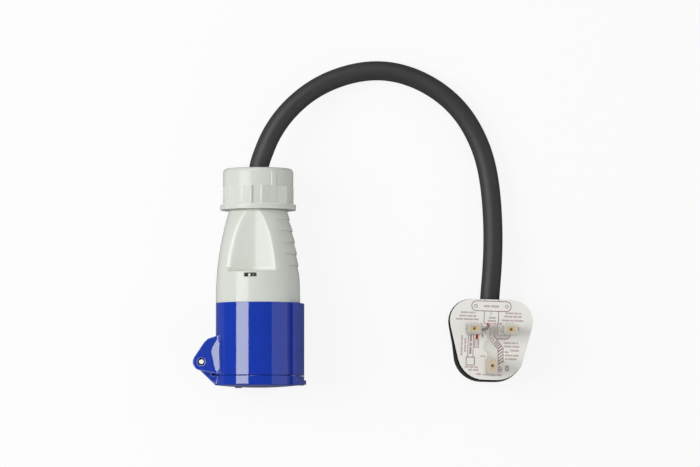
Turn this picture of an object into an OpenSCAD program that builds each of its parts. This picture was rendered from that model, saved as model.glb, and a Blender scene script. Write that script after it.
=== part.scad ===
/* [Connector] */
// Length of the connector from its lid to its gland nut
connector_len = 132.7; // [130:0.1:150]
// How far the connector is rolled about its own axis as it lies
roll = 12; // [0:1:20]

/* [Socket sleeve] */
// Outer radius of the connector's cylindrical body
sleeve_r = 25.5; // [24:0.1:28]
// Wall of the blue sleeve
sleeve_wall = 3; // [2.4:0.1:3.4]
// Length of the blue sleeve, mouth to rear edge
sleeve_len = 43.9; // [43:0.1:50]
// Depth of the ring-shaped gap that takes the mating shroud
socket_depth = 37; // [34:0.5:38]
// Thickness of the plate behind the gap, which holds the contacts
plate_thick = 4.8; // [4:0.1:6]
// Step in the sleeve's bore that the plate seats against
plate_step = 0.6; // [0.4:0.1:0.8]
// Width of the flat key block on the side of the sleeve
key_w = 26; // [22:0.5:30]
// Distance of the key block's flat face from the axis
key_reach = 26.2; // [25.8:0.1:28]
// Width of the keyway inside the key block
keyway_w = 8; // [6:0.5:10]
// Depth of the keyway
keyway_depth = 1.8; // [1:0.1:2]

/* [Contacts] */
// Radius of the contact carrier
carrier_r = 18; // [17.4:0.1:18.2]
// How far the carrier's face lies inside the mouth
carrier_recess = 1.2; // [0.5:0.1:3]
// Radius of the circle on which the contacts stand
contact_circle_r = 12; // [11:0.1:12.6]
// Bore radius of the line and neutral contacts
line_bore_r = 2.55; // [2.3:0.05:2.8]
// Bore radius of the earth contact
earth_bore_r = 3.05; // [2.8:0.05:3.3]
// Wall of a contact tube
contact_wall = 1.1; // [0.8:0.1:1.4]
// Side of a terminal block
terminal_w = 7.6; // [7:0.1:8.4]
// Length of a terminal block
terminal_len = 12; // [10:0.5:14]
// Shank radius of a terminal screw
screw_r = 1.7; // [1.4:0.1:1.8]

/* [Lid] */
// Height of the lid's rim
lid_t = 5.6; // [5:0.1:7]
// Rise of the lid's domed face
lid_dome = 1.4; // [0.8:0.1:2]
// Radius of the raised spot on the lid's face
spot_r = 2.1; // [1.6:0.1:2.6]
// Distance of the spot from the axis, towards the hinge
spot_x = 13.9; // [10:0.1:16]
// Distance of the spot from the axis, crosswise
spot_y = 10; // [4:0.1:12]
// Gap between the sleeve's mouth and the lid
lid_gap = 0.3; // [0.2:0.05:0.6]
// Wall of the lid's rim
lid_rim_wall = 1.6; // [1.2:0.1:2]
// Depth of the recess that holds the lid seal
lid_recess = 2.6; // [2:0.1:3]
// Radial width of the lid seal
lid_seal_w = 3.2; // [2.4:0.1:4]
// How far the finger tab stands out past the key block
tab_reach = 1.2; // [0.8:0.1:3]
// Thickness of the finger tab
tab_t = 2.6; // [2:0.1:3.4]

/* [Hinge] */
// Distance of the hinge pin from the connector's axis
hinge_x = 32; // [31.8:0.1:34]
// Height of the hinge pin above the mouth
hinge_z = 8.2; // [7:0.1:10]
// Radius of the ears' round tips
ear_r = 5.3; // [4.8:0.1:5.6]
// Half of the hinge's overall width
ear_half = 15; // [14:0.1:16]
// Thickness of an ear
ear_t = 4.2; // [3:0.1:5]
// Radius of the hinge pin
pin_r = 1.7; // [1.4:0.05:1.9]
// Running clearance of the lid on its pin
pin_clear = 0.08; // [0.05:0.01:0.1]
// Wire diameter of the lid spring
spring_wire = 1; // [0.8:0.1:1.2]
// Turns of the lid spring
spring_turns = 5; // [3:1:6]
// Length of the spring's legs
spring_leg = 9; // [7:0.5:10]
// Radius of the fillet between an ear and the sleeve
fillet_r = 6; // [4:0.5:8]

/* [Rear housing] */
// Wall of the grey housing
rear_wall = 2.4; // [2:0.1:2.8]
// Radius of the housing where it meets the gland nut
rear_top_r = 17.6; // [17.4:0.1:19]
// Radius of the threaded neck inside the gland nut
neck_r = 17; // [16:0.1:17.2]
// Length of the neck
neck_len = 18; // [16:0.5:20]
// Curve radius of the thumb scoop
scoop_r = 40; // [34:1:60]
// Distance of the scoop's floor from the axis
scoop_floor = 17.2; // [17:0.1:19]
// Length of the plain band between the sleeve and the scoop's ledge
ledge_len = 18.6; // [18:0.1:22]
// Width of the release slot under the ledge
slot_w = 7.7; // [7:0.1:10]
// Height of the release slot
slot_h = 2.3; // [2:0.1:3]
// Number of finger grooves
grip_count = 5; // [3:1:5]
// Distance from groove to groove
grip_pitch = 7; // [6:0.1:7.2]
// Depth of a finger groove
grip_depth = 0.7; // [0.4:0.1:0.9]
// Half of the angle that the groove next to the ledge takes up
grip_low_angle = 32; // [25:1:50]
// Half of the angle that the groove next to the gland nut takes up
grip_top_angle = 50; // [25:1:55]

/* [Gland] */
// Height of the gland nut
nut_h = 25.1; // [24.8:0.1:30]
// Radius of the nut's smooth upper part
nut_r = 21.35; // [20.8:0.05:23]
// Edge rounding of the nut's end
nut_round = 2.4; // [1.5:0.1:3]
// Height of the nut's flange
flange_h = 3.2; // [2.4:0.1:4]
// How far the flange stands out past the upper part
flange_rise = 1.6; // [1:0.1:2.4]
// Height of the ring of pads
pad_h = 10.8; // [8:0.1:11]
// Distance of a pad's flat face from the nut's axis
pad_flat = 21.2; // [20.6:0.05:22]
// How far the ribs stand out past the upper part
rib_rise = 0.5; // [0.3:0.05:0.9]
// Number of pads
pad_count = 6; // [4:1:10]
// Gap between two pads, as an angle
pad_gap = 15.5; // [10:0.5:20]
// Thickness of the nut's end plate
plate_t = 4.6; // [3:0.1:5]
// Running clearance of the nut on the neck
nut_clear = 0.08; // [0.05:0.01:0.1]
// Thickness of the clamp ring under the end plate
ring_t = 5.4; // [4:0.1:5.6]

/* [Cable] */
// Outer diameter of the rubber cable
cable_d = 11.8; // [10.8:0.1:12.2]
// Outer diameter of a core
core_d = 3.4; // [3:0.1:3.6]

/* [Plug] */
// Distance of the plug's centre line from the connector's axis
plug_dx = 141.25; // [138:0.05:143]
// Distance of the line and neutral pins beyond the connector's mouth
plug_dy = 27.8; // [26:0.1:30]
// How far the plug is turned as it lies
plug_turn = 1.5; // [0:0.5:4]
// Half width of the plug's face
face_half_w = 25.7; // [24.2:0.1:27]
// Half width of the plug's face beside the earth pin
face_low_half_w = 20.6; // [19.5:0.1:22]
// Height of the face above the line and neutral pins
face_up = 18.6; // [18:0.1:21]
// Height of the face below the line and neutral pins
face_down = 31; // [30:0.1:34]
// Depth of the plug from its face to its back
plug_depth = 27; // [26.5:0.1:30]
// Depth of the base, face to joint line
base_depth = 11; // [10.5:0.1:11.5]
// Thickness of the base's face plate
face_t = 3.2; // [2.8:0.1:3.6]
// Wall of the plug's sides and back
plug_wall = 2.2; // [1.8:0.1:2.5]
// Depth of the cable's axis behind the face
cable_depth = 13; // [12.8:0.1:13.4]
// How far the plug swells past its face
plug_swell = 0.4; // [0.2:0.1:1]
// How far the plug's sides draw in towards its back, beside the cable
plug_taper = 2.2; // [0:0.1:2.6]

/* [Pins and guard] */
// Spacing of the line and neutral pins, and of the earth pin from them
pin_pitch = 22.2; // [21.8:0.1:22.6]
// Length of the line and neutral pins
pin_len = 17.7; // [17.2:0.1:18.2]
// Length of the earth pin
earth_len = 22.7; // [22.2:0.1:23.2]
// Long side of a line or neutral pin
pin_w = 6.35; // [6.1:0.05:6.6]
// Short side of every pin
pin_t = 4; // [3.8:0.05:4.2]
// Long side of the earth pin
earth_w = 8; // [7.8:0.05:8.2]
// Length of the insulating sleeves
sleeve_pin_len = 9.2; // [8:0.1:9.6]
// Thickness of the insulating sleeves
sleeve_pin_t = 0.6; // [0.4:0.05:0.8]
// Thickness of the wiring card
card_t = 0.4; // [0.2:0.05:0.6]
// Wall of the clear pin guard
guard_wall = 0.8; // [0.6:0.1:1.2]
// Clearance between the pin guard and the pins
guard_clear = 0.3; // [0.25:0.05:0.4]
// Width of the web that joins the guard's caps
web_w = 4.4; // [3:0.1:5]

/* [Fuse and cord grip] */
// Radius of the fuse
fuse_r = 3.15; // [3:0.05:3.2]
// Length of the fuse
fuse_len = 25.4; // [25:0.1:26]
// Length of a fuse cap
fuse_cap_len = 6; // [5:0.1:7]
// Width of a fuse clip along the fuse
clip_w = 4; // [3:0.1:4.6]
// Thickness of a fuse clip
clip_t = 0.8; // [0.6:0.1:1]
// Thickness of the cord grip bar
grip_bar_t = 2.6; // [2:0.1:3]
// Width of the cord grip bar along the cable
grip_bar_w = 6; // [5:0.1:7]

/* [Hidden] */
$fn = 96;

// Small clearances, and the overlap that makes a cut pass a face
seat = 0.05;
gap = 0.3;
eps = 0.01;
cut = 1;

// Stations along the connector's axis, measured from the mouth of the sleeve
plate_end = socket_depth + plate_thick;
bore_end = socket_depth + plate_thick / 2;
spigot_z = plate_end + 0.2;
sleeve_in_r = sleeve_r - sleeve_wall;
rear_bore_r = sleeve_in_r + plate_step;
lid_low = lid_gap + lid_t;
lid_total = lid_low + lid_dome;
rear_len = connector_len - lid_total - sleeve_len - gap - nut_h;
ledge_z = sleeve_len + ledge_len;
slot_top = ledge_z - 1.1;
rear_end = sleeve_len + rear_len;
nut_z = rear_end + gap;
nut_end = nut_z + nut_h;
neck_end = rear_end + neck_len;
plate_z = nut_end - plate_t;
ring_end = plate_z - 0.2;
ring_z = ring_end - ring_t;

// The housing's shoulder curves in from a full cylinder to its top radius
curve_z = sleeve_len + 3.6;
curve_h = rear_end - curve_z;
curve_drop = sleeve_r - rear_top_r;
curve_r = (curve_h * curve_h + curve_drop * curve_drop) / (2 * curve_drop);
curve_steps = 10;
function shoulder_r(z) = sleeve_r - curve_r + sqrt(curve_r * curve_r - pow(max(z - curve_z, 0), 2));

// Inside of the gland
seal_r = neck_r - 4;
seal_floor = rear_end + 3.5;
cable_r = cable_d / 2;
entry_r = cable_r + 1.1;

// Contacts: line and neutral stand a third of a turn either side of the earth contact at the key
contact_front = carrier_recess + 3;
terminal_z = plate_end + 0.4;
contact_angles = [-120, 120, 0];

// The connector lies on its cylinder, with the middle of its own box over the origin
reach_left = (hinge_x + ear_r) * cos(roll) + ear_half * sin(roll);
reach_right = (key_reach + tab_reach) * cos(roll) + key_w / 2 * sin(roll);
connector_x = (reach_left - reach_right) / 2;
connector_y = (lid_total - nut_end) / 2;

// Hinge: the lid's knuckles stand between the ears, and the spring between the knuckles
ear_in = ear_half - ear_t;
knuckle_out = ear_in - gap;
spring_play = 0.7;
spring_air = 0.25;
spring_r = pin_r + spring_play + spring_wire / 2;
spring_pitch = spring_wire + spring_air;
spring_half = spring_turns * spring_pitch / 2;
knuckle_in = spring_half + spring_wire / 2 + gap;
knuckle_r = ear_r - 0.4;

// The plug's outline: an arc at each corner. The low corners lie closer in, and taper draws in the top ones
top_corner_r = 13.4;
low_corner_r = 16.6;
corner_steps = 8;
top_corner = [face_half_w - top_corner_r, face_up - top_corner_r];
low_corner = [face_low_half_w - low_corner_r, low_corner_r - face_down];
corner_run = top_corner - low_corner;
side_angle = atan2(corner_run.y, corner_run.x) - 90 + asin((low_corner_r - top_corner_r) / norm(corner_run));
function arc_points(c, r, a0, a1) =
    [for (i = [0:corner_steps]) let (a = a0 + (a1 - a0) * i / corner_steps) c + r * [cos(a), sin(a)]];
function plug_outline(grow, taper = 0) = concat(
    arc_points(top_corner - [taper, 0], top_corner_r + grow, side_angle, 90),
    arc_points([taper - top_corner.x, top_corner.y], top_corner_r + grow, 90, 180 - side_angle),
    arc_points([-low_corner.x, low_corner.y], low_corner_r + grow, 180 - side_angle, 270),
    arc_points(low_corner, low_corner_r + grow, 270, 360 + side_angle)
);

// Inside of the plug
core_y = 7 - seat;
core_z = -cable_depth;
line_x = pin_pitch / 2;
block_w = 7.4;
block_end = -11.4;
wire_z = -7.2;
fuse_x = line_x + 0.6;
fuse_y = -9.6;
fuse_z = -cable_depth - 3;
clip_reach = fuse_len / 2 - fuse_cap_len / 2;
line_term_x = fuse_x - 6;
line_term_y = fuse_y - clip_reach;
line_term_z = core_z - 1.2;
line_term_half = 2.3;
boss_y = -10;
boss_r = 3.6;
cover_screw_r = 1.5;
cover_screw_head_r = 3.4;
grip_y = face_up - 6;
grip_screw_x = cable_r + 2.6;
grip_bar_z = -cable_depth - cable_r - seat;
saddle_z = -cable_depth + cable_r + seat;
card_inset = 0.4;
card_shift = [card_inset, card_inset - 0.1];
base_taper = plug_taper * base_depth / plug_depth;
guard_z = card_t + gap;

// Route of the cable's centre line, as it lies
sheath_start = rear_end - 3.7;
cable_route = concat(
    [
        for (z = [sheath_start, nut_z + nut_h * 0.3, nut_z + nut_h * 0.7, nut_end])
            [connector_x, connector_y + z, sleeve_r]
    ],
    [
        [6.1, 72, 25.3], [8.6, 79, 24.8], [12.1, 86.2, 23.6], [17, 94.5, 21.6], [23.5, 102.8, 19],
        [32, 111.2, 16], [43, 119, 12.8], [56, 124.7, 9.8], [70, 128.4, 7.6], [84.5, 128.9, 6.6],
        [98.5, 125.6, 6.4], [112, 119.3, 6.4], [123.6, 110.6, 6.4], [131.9, 101.2, 6.4], [137.8, 91.4, 6.4],
        [142.5, 81, 6.6], [145.4, 71, 7], [147.2, 61, 7.8], [148.5, 49, 9], [149.1, 36, 10.6],
        [149.2, 23, 12.2], [148.6, 10, 13.4], [147.7, -2, 14]
    ],
    [for (y = [face_up + 3, face_up - 4, core_y + seat]) plug_point([0, y, -cable_depth])]
);
function plug_point(p) =
    let (c = cos(-plug_turn), s = sin(-plug_turn))
    [connector_x + plug_dx + p.x * c - p.y * s, connector_y + plug_dy + p.x * s + p.y * c, plug_depth + p.z];

// The three cores spread from the end of the sheath to the terminals
core_ring = 2.5;
function core_start(a, z) = [core_ring * cos(a), core_ring * sin(a), z];
function on_circle(a, r, z) = [r * cos(a), r * sin(a), z];

// Placing

module at_connector() {
    translate([connector_x, connector_y, sleeve_r])
        rotate([-90, 0, 0])
            rotate([0, 0, -roll])
                children();
}

module at_plug() {
    translate([connector_x + plug_dx, connector_y + plug_dy, plug_depth])
        rotate([0, 0, -plug_turn])
            children();
}

// Shared shapes

module tube_between(z0, z1, r_out, r_in) {
    translate([0, 0, z0])
        difference() {
            cylinder(r = r_out, h = z1 - z0);
            translate([0, 0, -cut])
                cylinder(r = r_in, h = z1 - z0 + 2 * cut);
        }
}

module rod(z0, z1, r) {
    translate([0, 0, z0])
        cylinder(r = r, h = z1 - z0);
}

module box_between(a, b) {
    translate(a)
        cube(b - a);
}

// Sweep of a round section along a list of points; up is never parallel to the path
module sweep(path, r, sides, up) {
    n = len(path);
    rings = [
        for (i = [0:n - 1])
            let (
                ahead = path[min(i + 1, n - 1)] - path[max(i - 1, 0)],
                t = ahead / norm(ahead),
                across = cross(t, up),
                u = across / norm(across),
                v = cross(u, t)
            )
            for (k = [0:sides - 1])
                path[i] + r * (cos(360 * k / sides) * u + sin(360 * k / sides) * v)
    ];
    walls = [
        for (i = [0:n - 2], k = [0:sides - 1])
            let (a = i * sides + k, b = i * sides + (k + 1) % sides)
            each [[a, a + sides, b], [b, a + sides, b + sides]]
    ];
    first = [for (k = [0:sides - 1]) k];
    last = [for (k = [sides - 1:-1:0]) (n - 1) * sides + k];
    polyhedron(rings, concat(walls, [first, last]));
}

// Loft of the plug's outline through rings of [depth, growth, taper], listed from the face to the back
module plug_loft(rings) {
    m = len(plug_outline(0));
    n = len(rings);
    points = [
        for (ring = rings, p = plug_outline(ring[1], ring[2]))
            [p.x, p.y, ring[0]]
    ];
    walls = [
        for (i = [0:n - 2], k = [0:m - 1])
            let (a = i * m + k, b = i * m + (k + 1) % m)
            each [[a, b, a + m], [b, b + m, a + m]]
    ];
    front = [for (k = [m - 1:-1:0]) k];
    back = [for (k = [0:m - 1]) (n - 1) * m + k];
    polyhedron(points, concat(walls, [front, back]));
}

// Outline of the sleeve and lid: a circle with a flat block on the key side
module body_outline() {
    circle(r = sleeve_r);
    translate([0, -key_w / 2])
        square([key_reach, key_w]);
}

// Socket sleeve

// Side view of an ear: x is the distance from the axis, y the height above the mouth
module ear_outline() {
    root_x = sleeve_r - 7;
    shoulder_y = hinge_z + 14;
    translate([hinge_x, hinge_z])
        circle(r = ear_r);
    polygon([
        [root_x, 0.6],
        [sleeve_r - 5, 0.6],
        [hinge_x + ear_r * sin(10), hinge_z - ear_r * cos(10)],
        [hinge_x, hinge_z],
        [hinge_x + ear_r * cos(33), hinge_z + ear_r * sin(33)],
        [hinge_x - 1.8, hinge_z + 12],
        [hinge_x - 4, shoulder_y],
        [root_x, shoulder_y + 3]
    ]);
}

// Turns a side view so that it stands on the hinge side, between two distances from the middle
module hinge_plate(from, to) {
    mirror([1, 0, 0])
        rotate([90, 0, 0])
            translate([0, 0, from])
                linear_extrude(to - from)
                    children();
}

module front_housing() {
    color([0.1, 0.2, 0.68])
        at_connector()
            difference() {
                linear_extrude(sleeve_len)
                    body_outline();
                rod(-cut, socket_depth + eps, sleeve_in_r);
                rod(socket_depth, sleeve_len + cut, rear_bore_r);
                box_between(
                    [0, -keyway_w / 2, -cut],
                    [sleeve_in_r + keyway_depth, keyway_w / 2, socket_depth]
                );
            }
}

// Hollow corner between an ear's outer face and the sleeve, seen along the axis
module ear_fillet() {
    bite = 0.15;
    centre_y = ear_half + fillet_r - bite;
    centre_x = sqrt(pow(sleeve_r + fillet_r - bite, 2) - centre_y * centre_y);
    foot = sleeve_r / norm([centre_x, centre_y]);
    difference() {
        polygon([
            [-centre_x, eps - ear_half], [-foot * centre_x, -foot * centre_y],
            [5 - sleeve_r, eps - ear_half]
        ]);
        translate([-centre_x, -centre_y])
            circle(r = fillet_r);
    }
}

// One ear with the pin's hole, seated on the sleeve; the other is its mirror image
module hinge_ear(side) {
    color([0.1, 0.2, 0.68])
        at_connector()
            mirror([0, side, 0])
                difference() {
                    union() {
                        hinge_plate(ear_in, ear_half)
                            ear_outline();
                        intersection() {
                            hinge_plate(ear_half - cut, ear_half + fillet_r)
                                ear_outline();
                            linear_extrude(sleeve_len)
                                ear_fillet();
                        }
                    }
                    rod(-cut, sleeve_len, sleeve_r + eps);
                    translate([-hinge_x, 0, hinge_z])
                        rotate([90, 0, 0]) {
                            rod(0, ear_half + cut, pin_r + seat);
                            rod(ear_half - 1.8, ear_half + cut, pin_r + 0.6);
                        }
                }
}

module hinge_ear_upper() {
    hinge_ear(0);
}

module hinge_ear_lower() {
    hinge_ear(1);
}

module hinge_pin() {
    color("gainsboro")
        at_connector()
            translate([-hinge_x, 0, hinge_z])
                rotate([90, 0, 0])
                    cylinder(r = pin_r, h = 2 * ear_half - 0.8, center = true);
}

// Torsion spring: one leg bears on the sleeve, the other on the lid's arm
module lid_spring() {
    steps = 12;
    count = spring_turns * steps;
    leg = spring_leg;
    leg_in = hinge_x - sleeve_r - spring_r - spring_wire;
    coil = [
        for (i = [0:count])
            let (a = -360 * i / steps)
            [spring_r * cos(a), spring_half - 2 * spring_half * i / count, spring_r * sin(a)]
    ];
    first_leg = [coil[0] + [leg_in, 0, leg], coil[0] + [leg_in * 0.4, 0, leg / 2]];
    last_leg = [coil[count] + [leg_in * 0.4, 0, -leg / 2], coil[count] + [leg_in, 0, -leg - 1]];
    color("silver")
        at_connector()
            translate([-hinge_x, 0, hinge_z])
                sweep(concat(first_leg, coil, last_leg), spring_wire / 2, 6, [0, 1, 0]);
}

// Lid

// Side view of the lid's arm, from the knuckle round the pin down to the rim
module arm_outline() {
    translate([hinge_x, hinge_z])
        circle(r = knuckle_r);
    polygon([
        [hinge_x + knuckle_r * cos(-45), hinge_z + knuckle_r * sin(-45)],
        [hinge_x, hinge_z],
        [hinge_x - knuckle_r * cos(20), hinge_z - knuckle_r * sin(20)],
        [sleeve_r + 0.8, -lid_gap],
        [sleeve_r - 6, -lid_gap],
        [sleeve_r - 6, -lid_low],
        [sleeve_r - 1.2, -lid_low]
    ]);
}

module lid() {
    dome_edge = sleeve_r - 0.5;
    dome_r = (dome_edge * dome_edge + lid_dome * lid_dome) / (2 * lid_dome);
    color([0.1, 0.2, 0.68])
        at_connector()
            difference() {
                union() {
                    translate([0, 0, -lid_low])
                        linear_extrude(lid_t)
                            body_outline();
                    rotate_extrude()
                        intersection() {
                            translate([0, dome_r - lid_total])
                                circle(r = dome_r, $fn = 720);
                            translate([0, -lid_total - cut])
                                square([dome_edge, lid_dome + 2 * cut]);
                        }
                    translate([-spot_x, spot_y, 0])
                        rod(-lid_total, -lid_low + eps, spot_r);
                    box_between(
                        [0, -key_w / 2, -lid_low + 0.5],
                        [key_reach + tab_reach, key_w / 2, -lid_low + 0.5 + tab_t]
                    );
                    hinge_plate(knuckle_in, knuckle_out)
                        arm_outline();
                    hinge_plate(-knuckle_out, -knuckle_in)
                        arm_outline();
                }
                rod(-lid_gap - lid_recess, cut, sleeve_r - lid_rim_wall);
                translate([-hinge_x, 0, hinge_z])
                    rotate([90, 0, 0])
                        cylinder(r = pin_r + pin_clear, h = 2 * ear_half, center = true);
            }
}

module lid_seal() {
    seal_out = sleeve_r - lid_rim_wall - seat;
    color([0.12, 0.12, 0.12])
        at_connector()
            tube_between(-lid_gap - lid_recess, -lid_gap + 0.1, seal_out, seal_out - lid_seal_w);
}

// Contacts

module on_contact(i) {
    rotate([0, 0, contact_angles[i]])
        translate([contact_circle_r, 0, 0])
            children();
}

function bore_r(i) = i == 2 ? earth_bore_r : line_bore_r;

module contact_holes() {
    for (i = [0:2])
        on_contact(i)
            rod(0, plate_end + cut, bore_r(i) + contact_wall + seat);
}

module contact_carrier() {
    color([0.2, 0.2, 0.22])
        at_connector()
            difference() {
                rod(carrier_recess, socket_depth, carrier_r);
                contact_holes();
            }
}

// Plate behind the carrier: it closes the ring-shaped gap and is held by the rear housing
module contact_plate() {
    color([0.2, 0.2, 0.22])
        at_connector()
            difference() {
                rod(socket_depth + seat, plate_end, rear_bore_r - seat);
                contact_holes();
            }
}

module contact(i) {
    half = terminal_w / 2;
    color("darkgoldenrod")
        at_connector()
            on_contact(i)
                difference() {
                    union() {
                        rod(contact_front + seat, terminal_z + eps, bore_r(i) + contact_wall);
                        box_between([-half, -half, terminal_z], [half, half, terminal_z + terminal_len]);
                    }
                    rod(0, bore_end, bore_r(i));
                    rod(terminal_z + 3, terminal_z + terminal_len + cut, core_d / 2 + seat);
                    translate([0, 0, terminal_z + terminal_len / 2 + 1])
                        rotate([0, 90, 0])
                            cylinder(r = screw_r + seat, h = half + cut);
                }
}

module contact_line() {
    contact(0);
}

module contact_neutral() {
    contact(1);
}

module contact_earth() {
    contact(2);
}

// A slotted screw along +z: its head stands on z = 0
module slotted_screw(r, length, head_r, head_h) {
    difference() {
        union() {
            rod(-length, eps, r);
            rod(0, head_h, head_r);
        }
        box_between([-head_r - cut, -0.4, head_h / 2], [head_r + cut, 0.4, head_h + cut]);
    }
}

module connector_screws() {
    color("silver")
        at_connector()
            for (i = [0:2])
                on_contact(i)
                    translate([terminal_w / 2 + seat, 0, terminal_z + terminal_len / 2 + 1])
                        rotate([0, 90, 0])
                            slotted_screw(screw_r, terminal_w / 2 - core_d / 2 - 2 * seat, screw_r * 1.8, 2);
}

// Rear housing

// Half section from the spigot up to the top of the neck
module housing_section(wall) {
    polygon(concat(
        [[0, spigot_z + wall], [rear_bore_r - seat - wall, spigot_z + wall]],
        [[rear_bore_r - seat - wall, sleeve_len + wall], [sleeve_r - wall, sleeve_len + wall]],
        [
            for (i = [0:curve_steps])
                let (z = curve_z + curve_h * i / curve_steps)
                [shoulder_r(z) - wall, z - wall]
        ],
        [[0, rear_end - wall]]
    ));
}

module scoop(extra) {
    translate([0, -scoop_floor - scoop_r, ledge_z - extra])
        cylinder(r = scoop_r + extra, h = rear_end - ledge_z, $fn = 192);
}

// Finger groove: deepest on the key side and running out to nothing round the body
module grip_groove(z, half_angle) {
    shift = grip_depth / (1 - cos(half_angle));
    run = grip_pitch * 0.8;
    out = 3;
    low_r = shoulder_r(z - run) + shift;
    deep_r = shoulder_r(z) - grip_depth + shift;
    translate([-shift, 0, 0])
        rotate_extrude()
            polygon([[low_r, z - run], [deep_r, z], [deep_r + out, z + 0.5], [low_r + out, z - run]]);
}

module rear_housing() {
    color([0.82, 0.84, 0.81])
        at_connector()
            difference() {
                union() {
                    difference() {
                        rotate_extrude()
                            housing_section(0);
                        scoop(0);
                        for (i = [0:grip_count - 1])
                            grip_groove(
                                ledge_z + grip_pitch * (i + 0.53),
                                grip_low_angle + (grip_top_angle - grip_low_angle) * i / (grip_count - 1)
                            );
                    }
                    rod(rear_end - eps, neck_end, neck_r);
                }
                difference() {
                    rotate_extrude()
                        housing_section(rear_wall);
                    scoop(rear_wall);
                }
                rod(spigot_z - cut, spigot_z + 2 * rear_wall, rear_bore_r - seat - rear_wall);
                rod(rear_end - 2 * rear_wall, seal_floor + cut, entry_r);
                rod(seal_floor, neck_end + cut, seal_r);
                box_between(
                    [-slot_w / 2, -sleeve_r - cut, slot_top - slot_h],
                    [slot_w / 2, -scoop_floor, slot_top]
                );
            }
}

// Sprung strip behind the release slot; its riveted tongue and its stop show in the slot
module release_clip() {
    strip_t = 0.8;
    half = slot_w / 2 - 0.7;
    outside = sleeve_r - rear_wall - 1.2;
    low = sleeve_len + rear_wall + 0.4;
    foot = slot_top - slot_h - 0.3;
    high = slot_top - 0.4;
    tongue_w = 1.8;
    stop_w = 1.2;
    stop_x = half - 2 * stop_w;
    color("silver")
        at_connector()
            union() {
                box_between([-half, -outside, low], [half, strip_t - outside, foot]);
                box_between([-tongue_w, -outside, foot - eps], [0, strip_t - outside, high]);
                translate([-tongue_w / 2, eps - outside, slot_top - slot_h / 2])
                    rotate([90, 0, 0])
                        cylinder(r = tongue_w / 2 - 0.05, h = 1);
                box_between([stop_x, -outside, foot - eps], [stop_x + stop_w, strip_t - outside, high]);
                box_between([stop_x, -outside - 0.8, foot + 0.5], [stop_x + stop_w, eps - outside, high]);
            }
}

// Gland

module nut_section() {
    upper_z = nut_z + flange_h + pad_h;
    difference() {
        union() {
            translate([0, nut_z])
                square([nut_r, nut_h - nut_round]);
            translate([0, nut_z])
                square([nut_r - nut_round, nut_h]);
            translate([nut_r - nut_round, nut_end - nut_round])
                circle(r = nut_round);
            translate([0, nut_z])
                square([nut_r + flange_rise, flange_h]);
        }
        translate([-nut_r, nut_z - cut])
            square([nut_r + neck_r + nut_clear, neck_end - nut_z + cut + 0.4]);
        translate([-nut_r, nut_z])
            square([nut_r + seal_r + gap, plate_z - nut_z]);
        translate([-nut_r, nut_z])
            square([nut_r + entry_r, nut_h + cut]);
    }
}

module gland_nut() {
    pad_z = nut_z + flange_h;
    pad_pitch = 360 / pad_count;
    pad_angle = (pad_pitch - pad_gap) / 2;
    pad_half = pad_flat * tan(pad_angle);
    pad_root = nut_r * cos(pad_angle) - 0.6;
    first_gap = -21.7;
    rib_angle = 8;
    first_rib = first_gap - 35.3;
    color([0.82, 0.84, 0.81])
        at_connector()
            union() {
                rotate_extrude()
                    nut_section();
                for (i = [0:pad_count - 1])
                    rotate([0, 0, first_gap + (i + 0.5) * pad_pitch])
                        box_between([pad_root, -pad_half, pad_z - eps], [pad_flat, pad_half, pad_z + pad_h]);
                for (side = [0, 180])
                    rotate([0, 0, first_rib + side])
                        translate([0, 0, pad_z + pad_h - eps])
                            rotate_extrude(angle = rib_angle)
                                translate([nut_r - 1, 0])
                                    square([1 + rib_rise, nut_h - flange_h - pad_h - nut_round]);
            }
}

module clamp_ring() {
    color([0.75, 0.75, 0.72])
        at_connector()
            tube_between(ring_z, ring_end, seal_r - 0.15, cable_r + 0.4);
}

module cable_seal() {
    color([0.15, 0.15, 0.15])
        at_connector()
            tube_between(seal_floor + seat, ring_z - 0.2, seal_r - seat, cable_r + 0.15);
}

// Cable and cores

module cable() {
    color([0.22, 0.22, 0.23])
        sweep(cable_route, cable_r, 12, [0, 0, 1]);
}

module connector_core(i, tint) {
    a = contact_angles[i];
    tip_z = terminal_z + terminal_len / 2 + 3;
    run = sheath_start - terminal_z - terminal_len;
    color(tint)
        at_connector()
            sweep(
                [
                    core_start(a, sheath_start - seat),
                    core_start(a, sheath_start - run / 7),
                    on_circle(a, contact_circle_r * 0.38, sheath_start - run / 3),
                    on_circle(a, contact_circle_r * 0.8, sheath_start - run * 0.57),
                    on_circle(a, contact_circle_r, terminal_z + terminal_len + 3),
                    on_circle(a, contact_circle_r, tip_z)
                ],
                core_d / 2, 8, on_circle(a + 90, 1, 0)
            );
}

module connector_core_line() {
    connector_core(0, "saddlebrown");
}

module connector_core_neutral() {
    connector_core(1, "royalblue");
}

module connector_core_earth() {
    connector_core(2, "yellowgreen");
}

module plug_core(route, tint) {
    color(tint)
        at_plug()
            sweep(route, core_d / 2, 8, [0, 0, 1]);
}

module plug_core_line() {
    plug_core([
        [2.4, core_y, core_z + 1], [2.4, 5, core_z + 1], [3.4, 1.5, core_z], [5.2, -3, core_z - 1],
        [6, -9, line_term_z], [line_term_x, line_term_y + 5, line_term_z],
        [line_term_x, line_term_y - 1, line_term_z]
    ], "saddlebrown");
}

module plug_core_neutral() {
    plug_core([
        [-2.4, core_y, core_z + 1], [-2.4, 5.4, core_z + 1], [-3.4, 2.4, core_z + 3.2],
        [-4.6, 0.6, wire_z - 1], [-6, 0, wire_z], [-line_x + 1, 0, wire_z]
    ], "royalblue");
}

module plug_core_earth() {
    plug_core([
        [0, core_y, core_z - 2.2], [0, 5, core_z - 2.2], [-2.4, 1, core_z - 2.6], [-5.4, -4, core_z - 1.4],
        [-6.6, -10, core_z + 2], [-4, -14.6, wire_z - 1], [-0.6, -16.4, wire_z], [0, -17.6, wire_z],
        [0, -pin_pitch + 1, wire_z]
    ], "yellowgreen");
}

// Plug

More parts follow.
